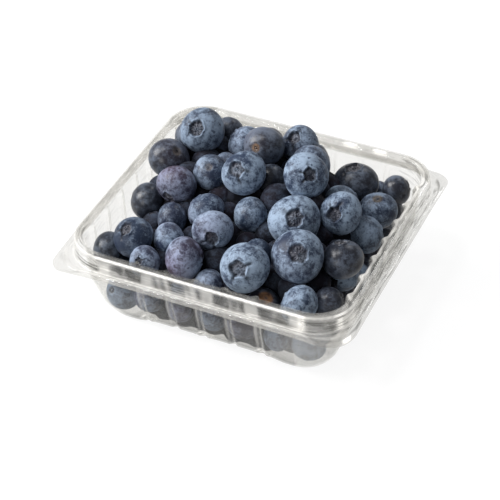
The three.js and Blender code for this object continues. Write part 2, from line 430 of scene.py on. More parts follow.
@dataclass(frozen=True)
class ClearSheet:
    """Thin clear plastic: see-through, with a faint veil, and glossy where light glances off.

    The share of light that glances off is g + r (1 - cos a)^5 for light at an angle a, alike on
    both faces, so that none is caught inside the sheet. The veil grows as (1 - cos a)^3, because
    light crosses more of the sheet there, and it is whiter on ribs and folds, partly as painted
    highlights. Half of the veil scatters light back and half lets it through, and the milky parts
    glow with a painted emission that stands in for the highlights on folds, ribs and strokes. Fine
    pale and dark lines run along the sheet, and a shade mark dims it: painted highlights and painted
    shade for the light and the dark things seen through its folds.
    """

    tint: Colour = (0.943, 0.940, 0.930)
    veil: Colour = (0.60, 0.59, 0.565)
    milk_and_glow: Colour = (0.95, 0.93, 0.895)
    veil_share: float = 0.003
    streak_share: float = 0.006
    edge_share: float = 0.06
    milk_and_glow_share: float = 0.75
    # painted shade: the colour that the dark lines and the shade mark dim the sheet to, and how white the
    # painted pale lines make it
    shade: Colour = (0.30, 0.30, 0.285)
    line_share: float = 0.30
    glance: float = 0.020
    rise: float = 0.65
    # how bright the painted glow of the milky parts is
    painted_glow: float = 1.15
    gloss: float = 0.045
    wave_mm: float = 11.0
    streak_mm: float = 4.5
    line_mm: tuple[float, float] = (9.0, 0.70)

    def material(self) -> bpy.types.Material:
        """Builds the node tree.

        Returns:
            The material.
        """
        finish = NodeFinish("clear sheet")
        normal = finish.bump(finish.noise(self.wave_mm, 1.0, 0.4, 0.4), 0.25, 0.35)
        layer = finish.node("ShaderNodeLayerWeight", {}, {"Blend": 0.5, "Normal": normal})
        facing = Socket(finish, layer.outputs["Facing"])
        # painted pale and dark lines for the light and the dark things seen through the folds: the pale
        # ones add to the milk, the dark ones to the painted shade
        lines = finish.lines(finish.attribute("across"), *self.line_mm)
        flow = finish.attribute("flow")
        pale = self.line_share * lines.over(0.53, 0.68) * flow
        milk_and_glow = (finish.attribute("milk_and_glow") + pale).held()
        dark = ((1.0 - lines).over(0.50, 0.66) * flow + finish.attribute("shade")).held()

        light = finish.shader("ShaderNodeBsdfTransparent", {"Color": self.tint})
        dim = finish.shader("ShaderNodeBsdfTransparent", {"Color": self.shade})
        clear = finish.layered(dark, light, dim)
        # the emission is painted glow, strongest where the milk is
        look = {
            "Base Color": finish.blend(milk_and_glow, self.veil, self.milk_and_glow),
            "Roughness": 0.45,
            "Emission Color": finish.blend(milk_and_glow, (0.0, 0.0, 0.0), self.milk_and_glow),
            "Emission Strength": self.painted_glow,
            "Normal": normal,
        }
        back = finish.shader("ShaderNodeBsdfPrincipled", look)
        through = finish.shader("ShaderNodeBsdfTranslucent", {"Color": self.milk_and_glow, "Normal": normal})
        haze = finish.layered(0.5, back, through)

        streaks = finish.noise(self.streak_mm, 2.0, 0.5, 0.8).over(0.50, 0.80)
        share = self.veil_share + self.streak_share * streaks + self.edge_share * facing**3.0
        body = finish.layered((share + self.milk_and_glow_share * milk_and_glow).held(), clear, haze)
        gleam = {"Color": (1.0, 1.0, 0.99), "Roughness": self.gloss, "Normal": normal}
        shine = finish.shader("ShaderNodeBsdfGlossy", gleam)
        return finish.show(finish.layered(self.glance + self.rise * facing**5.0, body, shine))


@dataclass(frozen=True)
class Station:
    """One line of the sheet's profile.

    inset is measured in from the ledge's outer edge, radius is the corner's, and rib, lift, droop
    and hood are shares of the full depth of those features. The rest say how white and glowing a fold
    is, partly as haze and partly as a painted highlight, pocket how strong the painted highlight is
    between the ribs there, patchy how white the painted highlight patches along it are, brim how
    white the painted highlight along the ledge's inner edge is, then how strong the painted pale and
    dark lines are, and shade how dark the painted shade is.
    """

    inset: float
    z: float
    radius: float
    rib: float = 0.0
    lift: float = 0.0
    droop: float = 0.0
    hood: float = 0.0
    milk_and_glow: float = 0.0
    pocket: float = 0.0
    patchy: float = 0.0
    brim: float = 0.0
    flow: float = 0.0
    shade: float = 0.0


# the side, the distance along it and the turn round its corner of each place on the outline
Places = tuple[np.ndarray, np.ndarray, np.ndarray]


@dataclass
class Tray:
    """The formed tray: base on corner feet, fluted walls, ledge, skirt and a cornered flange.

    Sides are numbered anticlockwise from the front, and a tuple of four has a value for each side
    or for the corner that follows it.
    """

    length: float
    width: float
    height: float
    flange: float
    rim_radius: float = 15.0
    sheet: float = 0.5
    ledge: float = 2.8
    skirt: float = 6.8
    flange_radius: float = 6.0
    flange_droop: float = 1.2
    droop_reach: float = 9.0
    tab_start: float = 0.4
    tab_rounding: tuple[float, ...] = (5.5, 0.0, 0.0, 0.0)
    base_inset: float = 10.3
    base_radius: float = 10.5
    base_lift: float = 2.0
    knee_height: float = 17.4
    knee_inset: float = 4.5
    wall_radius: float = 12.0
    foot_reach: float = 33.0
    lift_reach: float = 20.0
    rib_pitch: float = 11.5
    rib_depth: float = 1.4
    rib_flank: float = 2.0
    rib_counts: tuple[int, ...] = (2, 3, 3, 3)
    rib_shifts: tuple[float, ...] = (-1.5, 0.0, 0.0, 0.0)
    fixed_reach: float = 25.0
    slot_ribs: tuple[int, ...] = (-2, 0, 2)
    slot_width: float = 3.4
    slot_height: float = 2.4
    slot_sill: float = 0.3
    slot_steps: int = 14
    cutter_reach: float = 3.2
    hood_height: float = 0.7
    hood_reach: float = 2.3
    bend_reach: float = 1.4
    bend_share: float = 0.42
    bend_steps: int = 4
    corner_steps: int = 18
    side_steps: int = 92
    base_rings: int = 6
    crease_degrees: float = 50.0
    # painted highlights on the ribs' flanks and on the arches over the slots, and milk that glows on the
    # front right corner
    rib_highlight: float = 0.34
    arch_highlight: float = 0.7
    corner_mist_and_glow: float = 0.30
    # where the mist starts along the front wall and ends along the right one, and how far it runs
    mist_ahead: tuple[float, float] = (2.0, 37.0)
    mist_beside: tuple[float, float] = (-18.0, 19.0)
    # by side: how strong the painted highlights in the pockets, on the folds and along the brim are, how
    # strong the painted lines are and how dark the painted shade; they differ by side as the light falls
    # on each
    pocket_shares: tuple[float, ...] = (0.0, 0.18, 0.47, 0.2)
    fold_shares: tuple[float, ...] = (1.0, 0.45, 0.35, 0.45)
    brim_shares: tuple[float, ...] = (0.0, 0.7, 0.15, 0.3)
    flow_shares: tuple[float, ...] = (0.7, 1.0, 0.10, 0.25)
    shade_shares: tuple[float, ...] = (1.0, 0.5, 0.1, 0.2)
    side_run: float = 96.0
    corner_run: float = 12.0
    # middle and half length along the outline, and the insets between which a painted highlight
    # stroke lies
    highlight_strokes: tuple[tuple[float, ...], ...] = (
        (52.2, 2.4, -3.1, -2.4),
        (51.0, 1.8, -0.04, 0.35),
        (39.6, 1.6, -0.04, 0.4),
        (174.0, 3.4, 1.9, 2.9),
        (162.0, 3.4, 1.9, 2.9),
    )
    finish: ClearSheet = field(default_factory=ClearSheet)

    @classmethod
    def from_frame(cls, flange: float = 3.6) -> "Tray":
        """The tray as long, wide and high as its CAD node.

        Args:
            flange: how far the flange stands out from the ledge.

        Returns:
            The tray.
        """
        low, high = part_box("tray")
        length, width, height = (round((high[i] - low[i]) / MM, 3) for i in range(3))
        return cls(length - 2 * flange, width - 2 * flange, height, flange)

    def wall_points(self) -> list[tuple[float, float]]:
        """The wall's foot, shin, knee and top, each as an inset and a height."""
        return [
            (self.base_inset - 0.4, self.sheet + 1.9),
            (self.base_inset - 2.5, self.sheet + 5.9),
            (self.knee_inset, self.knee_height),
            (self.ledge + 0.5, self.height - 1.1),
        ]

    def stations(self) -> list[Station]:
        """The profile from the base panel out to the flange's edge, for the sheet's upper face."""
        foot, shin, knee, brim = self.wall_points()
        sheet, top, skirt_foot = self.sheet, self.height, self.height - self.skirt
        base, wall, rim, tab = self.base_radius, self.wall_radius, self.rim_radius, self.flange_radius
        return [
            Station(21.0, sheet + self.base_lift, 5.0),
            Station(19.0, sheet, 6.0, lift=1.0, milk_and_glow=0.10, flow=0.1),
            # the base's edge has painted shade: the dark of the berries seen through its curve
            Station(self.base_inset + 1.5, sheet, base - 1.0, rib=0.4, lift=1.0, milk_and_glow=0.06, shade=0.35),
            Station(*foot, base, rib=0.7, lift=0.5, hood=1.0, milk_and_glow=0.04, shade=0.5),
            Station(*shin, base + 0.3, rib=0.8, lift=0.2, hood=0.5, flow=0.1),
            Station(*knee, wall, rib=1.0, milk_and_glow=0.04, flow=0.15),
            # painted highlights in the pockets between the ribs and along the ledge's inner edge
            Station(self.ledge + 0.9, top - 2.6, wall, rib=1.0, pocket=0.10, flow=0.3),
            Station(*brim, wall, rib=1.0, pocket=0.8, brim=0.1, flow=0.9),
            Station(self.ledge, top, wall + 0.4, rib=0.9, milk_and_glow=0.02, brim=0.9, flow=0.7),
            Station(1.3, top, 13.9, flow=0.6, patchy=0.1),
            Station(0.75, top, 14.4, milk_and_glow=0.10, flow=0.2),
            # the bead along the ledge's outer edge is almost pure white: a painted highlight
            Station(0.3, top - 0.15, 14.75, milk_and_glow=0.95),
            Station(-0.02, top - 0.7, rim, milk_and_glow=1.0),
            # the skirt and the flange: painted highlight patches, painted lines and painted shade
            Station(-0.1, top - 1.3, rim, milk_and_glow=0.30, patchy=0.15, flow=0.3, shade=0.3),
            Station(-0.15, top - 1.9, rim + 0.05, milk_and_glow=0.05, patchy=0.45, flow=0.7, shade=0.1),
            Station(-0.25, top - 4.4, rim + 0.2, milk_and_glow=0.12, patchy=0.45, flow=0.9),
            Station(-0.35, skirt_foot + 0.9, rim + 0.3, milk_and_glow=0.25, patchy=0.3, flow=1.0, shade=0.2),
            Station(-0.4, skirt_foot, rim + 0.4, milk_and_glow=0.80, flow=0.2),
            Station(-0.9, skirt_foot, rim - 1.2, droop=0.15, milk_and_glow=0.15, flow=0.4, shade=0.3),
            Station(-1.4, skirt_foot + 0.35, rim - 3.0, droop=0.3, milk_and_glow=0.65, flow=0.3),
            Station(-1.9, skirt_foot + 0.35, rim - 4.4, droop=0.45, milk_and_glow=0.55, flow=0.5),
            Station(-2.2, skirt_foot, rim - 5.3, droop=0.55, milk_and_glow=0.25, flow=0.5),
            Station(0.6 - self.flange, skirt_foot, tab + 0.6, droop=0.90, milk_and_glow=0.26, flow=0.2),
            Station(-self.flange, skirt_foot, tab, droop=1.0, milk_and_glow=0.35),
        ]

    def profile(self) -> np.ndarray:
        """The profile with its corners rounded.

        Each inner corner becomes a quadratic curve from a point on the line before it to a point on
        the line after it, each bend_reach away but at most bend_share of the line.

        Returns:
            Rows of a station's numbers.
        """
        rows = np.array([astuple(station) for station in self.stations()])
        steps = np.linalg.norm(np.diff(rows[:, :2], axis=0), axis=1)
        shares = np.minimum(self.bend_reach / steps, self.bend_share)
        t = np.linspace(0.0, 1.0, self.bend_steps)[:, None]
        out = [rows[:1]]
        for i in range(1, len(rows) - 1):
            before = rows[i] + (rows[i - 1] - rows[i]) * shares[i - 1]
            after = rows[i] + (rows[i + 1] - rows[i]) * shares[i]
            out.append(before * (1 - t) ** 2 + rows[i] * 2 * t * (1 - t) + after * t**2)
        out.append(rows[-1:])
        return np.concatenate(out)

    def lower(self, profile: np.ndarray) -> np.ndarray:
        """The sheet's lower face: each row moved one sheet thickness along the profile's normal.

        Args:
            profile: rows of the upper face.

        Returns:
            Rows of the lower face, in the same order.
        """
        way = np.gradient(profile[:, :2], axis=0)
        way[0] = way[-1] = (-1.0, 0.0)
        way /= np.linalg.norm(way, axis=1, keepdims=True)
        out, up = way[:, 1], way[:, 0]
        moved = profile.copy()
        moved[:, 0] -= out * self.sheet
        moved[:, 1] = np.maximum(profile[:, 1] + up * self.sheet, 0.0)
        moved[:, 2] += out * self.sheet
        return moved

    def from_rib(self, side: Any, along: np.ndarray) -> tuple[np.ndarray, np.ndarray]:
        """The nearest rib's number, counted from the side's middle, and the distance from it.

        Args:
            side: the side or sides, from 0 to 3.
            along: distances along the side.

        Returns:
            The numbers and the distances.
        """
        shifts, counts = np.array(self.rib_shifts)[side], np.array(self.rib_counts)[side]
        number = np.clip(np.round((along - shifts) / self.rib_pitch), -counts, counts)
        return number, along - shifts - number * self.rib_pitch

    def places(self) -> Places:
        """Places round the outline: the side, the distance along it and the turn round its corner.

        The places stand closer together at the ribs: their spacing there is 0.3 of that elsewhere.

        Returns:
            Three arrays of one number per place.
        """
        sides, along, turn = [], [], []
        for side in range(4):
            end = (self.length, self.width)[side % 2] / 2 - self.rim_radius
            fine = np.linspace(-end, end, 2001)
            near_rib = np.abs(self.from_rib(side, fine)[1]) < 1.4 * self.rib_flank
            crowded = np.cumsum(np.where(near_rib, 1.0, 0.3))
            even = np.linspace(crowded[0], crowded[-1], self.side_steps, endpoint=False)
            bend = np.linspace(0.0, math.pi / 2, self.corner_steps, endpoint=False)
            sides.append(np.full(self.side_steps + self.corner_steps, side))
            along.append(np.concatenate([np.interp(even, crowded, fine), np.full(len(bend), end)]))
            turn.append(np.concatenate([np.zeros(len(even)), bend]))
        return np.concatenate(sides), np.concatenate(along), np.concatenate(turn)

    def relief(self, places: Places) -> tuple[np.ndarray, np.ndarray, np.ndarray]:
        """How the ribs and slots lie along the outline. A rib's section is a raised cosine.

        Args:
            places: side, along and turn of each place.

        Returns:
            The distance from the nearest rib, the share of its depth and where it has a slot.
        """
        side, along, turn = places
        number, offset = self.from_rib(side, along)
        crest = np.cos(np.clip(np.abs(offset) / self.rib_flank, 0, 1) * math.pi / 2) ** 2
        return offset, crest * (turn == 0), np.isin(number, self.slot_ribs) * (turn == 0)

    def surface(self, profile: np.ndarray, places: Places) -> np.ndarray:
        """Points of the sheet at each profile row and outline place.

        A side's point lies at (along, half side - inset - rib + hood) and a corner's on an arc of the
        row's radius. A hood is a bell round each slot. The sides past fixed_reach are stretched to
        meet each row's own corner. The base is lifted between the feet by a smooth step, and the
        flange droops as a bell round each corner, where its radius grows by the tab's rounding.

        Args:
            profile: rows of a station's numbers.
            places: side, along and turn of each place.

        Returns:
            An array of rows by places by 3.
        """
        side, along, turn = places
        inset, z, radius, rib, lift, droop, hood = (column[:, None] for column in profile.T[:7])
        corner = np.where(along > 0, side, (side - 1) % 4)
        out_on_flange = np.clip((-inset - self.tab_start) / (self.flange - self.tab_start), 0, 1)
        radius = radius + np.array(self.tab_rounding)[corner] * out_on_flange

        halves = np.array([self.length / 2, self.width / 2])
        end = halves[side % 2] - self.rim_radius
        share = np.clip((np.abs(along) - self.fixed_reach) / (end - self.fixed_reach), 0, 1)
        far = self.fixed_reach + share * (halves[side % 2] - inset - radius - self.fixed_reach)
        reach = np.where(np.abs(along) > self.fixed_reach, np.sign(along) * far, along)

        offset, crest, slotted = self.relief(places)
        bell = np.exp(-((offset / self.hood_reach) ** 2)) * slotted
        out = halves[(side + 1) % 2] - inset - radius * (1 - np.cos(turn))
        out = out - self.rib_depth * rib * crest + self.hood_height * hood * bell

        t = np.clip((self.foot_reach - np.abs(along)) / (self.foot_reach - self.lift_reach), 0, 1)
        raised = t * t * (3 - 2 * t) * (turn == 0)
        on_side = end + math.pi / 4 * radius - np.abs(along)
        from_corner = np.where(turn > 0, np.abs(turn - math.pi / 4) * radius, on_side)
        fallen = droop * self.flange_droop * np.exp(-((from_corner / self.droop_reach) ** 2))
        up = z + self.base_lift * lift * raised - fallen
        x = reach + radius * np.sin(turn)
        return quarter_turned(np.stack([x, -out, up + 0 * x], -1), side)

    def mist_and_glow(self, inset: np.ndarray, places: Places) -> np.ndarray:
        """Milk, with its painted glow, that grows along the front wall towards its right corner and fades
        past it.

        Args:
            inset: each row's inset.
            places: side, along and turn of each place.

        Returns:
            The milk, for rows by places.
        """
        side, along, turn = places
        (start, ahead_run), (end, beside_run) = self.mist_ahead, self.mist_beside
        ahead = np.clip((along - start) / ahead_run, 0, 1) ** 2 * (side == 0)
        beside = 0.3 * np.clip((end - along) / beside_run, 0, 1) * (side == 1)
        share = np.where(turn > 0, (0.3 + 0.7 * np.cos(turn)) * (side == 0), ahead + beside)
        up_wall = (inset > self.ledge) * np.clip((self.base_inset - inset) / 3.0, 0, 1)
        return self.corner_mist_and_glow * share * up_wall

    def marks(self, profile: np.ndarray, places: Places) -> dict[str, np.ndarray]:
        """What the finish reads: how milky and glowing, how lined and how dark the sheet is, and the way
        across it.

        The folds are white with a slight ripple, partly as a painted highlight, and the patches along them
        are the sum of three waves round the outline. A rib has a painted highlight along its two flanks
        and a slot along an arch over it. The painted highlight strokes fade at their ends. The lines are
        painted pale and dark lines, and the shade is painted shade.

        Args:
            profile: rows of a station's numbers.
            places: side, along and turn of each place.

        Returns:
            A rows by places array for each mark.
        """
        side, along, turn = places
        inset, z, _, rib, _, _, hood, fold, pocket, patchy, brim, flow, shade = (
            column[:, None] for column in profile.T
        )
        offset, crest, slotted = self.relief(places)
        strip = side * self.side_run + along + self.corner_run * turn
        run = strip * (2 * math.pi / (4 * self.side_run))
        bent, on_ledge = turn > 0, inset > -0.5

        wave = np.sin(21 * run + 1.0) + 0.7 * np.sin(47 * run + 0.12 * z)
        wave = wave + 0.4 * np.sin(113 * run + 0.5 * z)
        patch = np.clip(0.30 + 0.8 * wave, 0, 1)
        ripple = 0.9 + 0.1 * np.sin(160 * run + 3 * z)
        # painted highlight: the folds' milk is strongest along the front's bead, where the light glances
        # off
        shine = np.where(bent, np.where(on_ledge, 0.6, 0.45), np.array(self.fold_shares)[side])
        milk_and_glow = (fold * ripple + patchy * patch) * shine
        # painted highlights between the ribs and along the ledge's inner edge
        milk_and_glow = milk_and_glow + pocket * (1 - crest) * ~bent * np.array(self.pocket_shares)[side]
        milk_and_glow = milk_and_glow + brim * np.array(self.brim_shares)[side]

        # painted highlights on the ribs' flanks and over the slots
        flank = np.exp(-(((np.abs(offset) - 1.0) / 0.4) ** 2)) * ~bent * rib
        flank = flank * np.clip((self.height - 4.0 - z) / 8.0, 0, 1)
        from_slot = np.hypot(offset, z - self.sheet - self.base_lift - 0.4)
        arch = np.exp(-(((from_slot - 3.1) / 0.5) ** 2)) * slotted * (hood > 0)
        milk_and_glow = milk_and_glow + self.rib_highlight * (flank + 0.3 * crest * (flank > 0)) + self.arch_highlight * arch
        # painted highlight strokes
        for middle, half, low, high in self.highlight_strokes:
            stroke = np.clip(2.0 - 2.0 * np.abs(strip - middle) / half, 0, 1)
            milk_and_glow = milk_and_glow + stroke * (inset > low) * (inset < high)
        # milk on the front right corner, which glows like the rest
        milk_and_glow = np.clip(milk_and_glow + self.mist_and_glow(inset, places), 0, 1)

        # painted lines and painted shade by side, and a little painted shade on the flange
        flow = flow * np.where(bent & on_ledge, 0.8, np.array(self.flow_shares)[side])
        shade = shade * np.where(bent, 0.2, np.array(self.shade_shares)[side]) + 0.06 * (inset < -1.2)
        steps = np.hypot(*np.diff(profile[:, :2], axis=0).T)
        across = np.cumsum(np.append(0.0, steps))[:, None]
        marks = {"milk_and_glow": milk_and_glow, "flow": flow, "shade": shade, "across": across}
        return {key: values + 0 * along for key, values in marks.items()}

    def sheet_mesh(self) -> bpy.types.Mesh:
        """The closed sheet: rings from a pole on the base out to the flange and back underneath."""
        profile, places = self.profile(), self.places()
        shrink = np.linspace(0.0, 1.0, self.base_rings + 1)[1:-1, None, None]
        faces, sides = [], []
        for rows in (profile, self.lower(profile)):
            outer = self.surface(rows, places)
            pole = np.array([0.0, 0.0, rows[0, 1]])
            faces.append(np.concatenate([pole + (outer[:1] - pole) * shrink, outer]))
            plain = np.zeros((len(shrink), outer.shape[1]))
            marks = self.marks(rows, places)
            sides.append({key: np.concatenate([plain, mark]) for key, mark in marks.items()})
        over, under = sides
        marks = {
            key: np.concatenate([over[key].ravel(), under[key][::-1].ravel(), np.zeros(2)])
            for key in over
        }
        rings = np.concatenate([faces[0], faces[1][::-1]])
        count, columns = rings.shape[:2]
        poles = [[0.0, 0.0, face[0, 0, 2]] for face in faces]
        points = np.concatenate([rings.reshape(-1, 3), poles])
        quads = grid_faces(count, columns)[:, ::-1]
        return smooth_mesh("tray_sheet", points, quads, cap_faces(count, columns), marks)

    def slot_cutter(self) -> bpy.types.Mesh:
        """Half-round bars through the foot of the wall, one for each vent slot."""
        steps = self.slot_steps
        angle = np.linspace(0.0, math.pi, steps)
        out, up = np.cos(angle) * self.slot_width / 2, np.sin(angle) * self.slot_height
        base = self.sheet + self.base_lift + self.slot_sill
        points, quads, ends = [], [], []
        for side in range(4):
            edge = (self.width, self.length)[side % 2] / 2 - self.base_inset
            for rib in self.slot_ribs:
                centre = self.rib_shifts[side] + rib * self.rib_pitch
                bar = np.stack([
                    np.stack([centre + out, np.full(steps, reach - edge), base + up], -1)
                    for reach in (self.cutter_reach, -self.cutter_reach)
                ])
                start = len(points) * 2 * steps
                quads.append(grid_faces(2, steps) + start)
                ends.extend([start + np.arange(steps), start + steps + np.arange(steps)[::-1]])
                points.append(quarter_turned(bar, side).reshape(-1, 3))
        triangles = np.concatenate([
            np.stack([np.full(steps - 2, end[0]), end[2:], end[1:-1]], -1) for end in ends
        ])
        return smooth_mesh("slot_bars", np.concatenate(points), np.concatenate(quads), triangles)

    def build(self) -> None:
        """Makes the tray with its slots cut through."""
        sheet = bpy.data.objects.new("tray_whole", self.sheet_mesh())
        bars = bpy.data.objects.new("slot_bars", self.slot_cutter())
        for item in (sheet, bars):
            bpy.context.scene.collection.objects.link(item)
        cut = sheet.modifiers.new("slots", "BOOLEAN")
        cut.operation, cut.solver, cut.object = "DIFFERENCE", "EXACT", bars
        shown = sheet.evaluated_get(bpy.context.evaluated_depsgraph_get())
        done = bpy.data.meshes.new_from_object(shown)
        done.name = "tray_sheet"
        bpy.data.objects.remove(sheet)
        bpy.data.objects.remove(bars)
        done.set_sharp_from_angle(angle=math.radians(self.crease_degrees))
        add_piece(done, self.finish.material(), "tray")


# ---------------------------------------------------------------- the berries


class Bloom(Enum):
    """How much of the pale waxy bloom a berry has kept."""

    PALE = "pale"
    SLATE = "slate"
    DARK = "dark"


@dataclass(frozen=True)
class BerrySkin:
    """A berry's skin: dark under a pale bloom that is rubbed, mottled and specked, with painted
    shade in the crown's creases and on its rubbed side.

    A pair of colours is the dark and the light end of a mottled part.
    """

    name: str
    skin: Colour
    wax: Colour
    blush: Colour
    cover: float
    gloss: float
    coat: float
    shine: float = 0.4
    blush_skin: Colour = (0.040, 0.014, 0.026)
    # the painted shade in the crown's creases
    crease: Colour = (0.006, 0.006, 0.009)
    floor: tuple[Colour, Colour] = ((0.020, 0.020, 0.027), (0.150, 0.142, 0.155))
    olive: tuple[Colour, Colour] = ((0.035, 0.028, 0.020), (0.160, 0.120, 0.080))
    rust: tuple[Colour, Colour] = ((0.080, 0.036, 0.016), (0.360, 0.180, 0.080))

    def material(self) -> bpy.types.Material:
        """Builds the node tree.

        The bloom's cover is the berry's own share plus broad, middle and fine noise. It is thin in
        the crown's pit, thick on the crown's rim and gone at the stem scar, and thinner over one random
        side: rubbed bloom and painted shade.

        Returns:
            The material.
        """
        finish = NodeFinish(self.name)
        broad, patch = finish.noise(6.5, 1.0, 0.5, 0.3), finish.noise(2.2, 5.0, 0.66, 0.35)
        speck, spot = finish.noise(0.6, 3.0, 0.7), finish.noise(1.9, 0.0)
        mottle = patch.over(0.3, 0.7)
        names = ("pit", "rim", "crease", "scar", "bare", "wear_and_shade", "own", "lilac")
        pit, rim, crease, scar, bare, wear_and_shade, own, lilac = (finish.attribute(name) for name in names)

        cover = self.cover + own + 1.7 * (broad - 0.5) + 2.3 * (patch - 0.5) + 1.3 * (speck - 0.5)
        # one random side loses bloom: rubbed bloom and painted shade together
        cover = (cover - 0.4 * wear_and_shade + 0.12 * rim - 0.20 * pit).over(-0.05, 1.10)
        cover = (cover * (1.0 - 0.75 * spot.over(0.71, 0.78))).held()

        wax = finish.blend(lilac, self.wax, self.blush)
        colour = finish.blend(cover, finish.blend(lilac, self.skin, self.blush_skin), wax)
        colour = finish.blend((pit * 0.6).held(), colour, finish.blend(mottle, *self.floor))
        # painted shade in the crown's creases
        colour = finish.blend((crease * 0.8).held(), colour, self.crease)
        olive, rust = finish.blend(mottle, *self.olive), finish.blend(mottle, *self.rust)
        bark = finish.blend((bare * 10.0 - 9.0).held(), olive, rust)
        look = {
            "Base Color": finish.blend((scar * bare).held(), colour, bark),
            "Roughness": (self.gloss + 0.34 * cover + 0.1 * patch).held(),
            "Normal": finish.bump(0.6 * patch + 0.4 * speck, 0.12, 0.7),
            "IOR": 1.40,
            "Specular IOR Level": self.shine,
            "Coat Weight": self.coat,
            "Coat Roughness": 0.28,
            "Sheen Weight": 0.05,
            "Sheen Roughness": 0.5,
            "Sheen Tint": (0.75, 0.82, 1.0),
        }
        return finish.show(finish.shader("ShaderNodeBsdfPrincipled", look))


SKINS = {
    Bloom.PALE: BerrySkin(
        "bloomed skin",
        skin=(0.015, 0.026, 0.055),
        wax=(0.270, 0.345, 0.450),
        blush=(0.24, 0.22, 0.34),
        cover=0.50,
        gloss=0.42,
        coat=0.0,
    ),
    Bloom.SLATE: BerrySkin(
        "slate skin",
        skin=(0.012, 0.021, 0.044),
        wax=(0.220, 0.282, 0.372),
        blush=(0.20, 0.185, 0.28),
        cover=0.44,
        gloss=0.36,
        coat=0.05,
    ),
    Bloom.DARK: BerrySkin(
        "dark skin",
        skin=(0.010, 0.012, 0.019),
        wax=(0.100, 0.122, 0.162),
        blush=(0.10, 0.085, 0.135),
        cover=0.38,
        gloss=0.26,
        coat=0.18,
    ),
}
SHADED_SKIN = BerrySkin(
    "shaded skin",
    skin=(0.005, 0.006, 0.010),
    wax=(0.050, 0.064, 0.092),
    blush=(0.03, 0.028, 0.045),
    cover=0.42,
    gloss=0.6,
    coat=0.0,
    shine=0.15,
)


@dataclass(frozen=True)
class DeepShade:
    """Painted shade: a dull dark mass that stands for the shaded skins deep in the heap."""

    name: str = "painted deep shade"
    dark: Colour = (0.004, 0.004, 0.006)
    light: Colour = (0.012, 0.014, 0.022)

    def material(self) -> bpy.types.Material:
        """Builds the node tree.

        Returns:
            The material.
        """
        finish = NodeFinish(self.name)
        patch = finish.noise(3.0, 3.0, 0.6)
        look = {
            "Base Color": finish.blend(patch.over(0.4, 0.7), self.dark, self.light),
            "Roughness": 0.8,
            "Specular IOR Level": 0.1,
            "Normal": finish.bump(patch, 0.5, 0.8),
        }
        return finish.show(finish.shader("ShaderNodeBsdfPrincipled", look))


@dataclass(frozen=True)
class Berry:
    """One berry: its centre, diameter, the way its crown faces in degrees, and how it looks.

    own is added to its skin's cover of bloom, lilac is how purple it is, crown and depth are the
    crown's width and depth, and bare and scar are how strong and how wide the stem's scar is.
    """

    x: float
    y: float
    z: float
    diameter: float
    azimuth: float
    elevation: float
    bloom: Bloom = Bloom.DARK
    own: float = 0.0
    lilac: float = 0.0
    crown: float = 0.5
    depth: float = 1.0
    bare: float = 0.4
    scar: float = 1.0


P, S, D = Bloom.PALE, Bloom.SLATE, Bloom.DARK

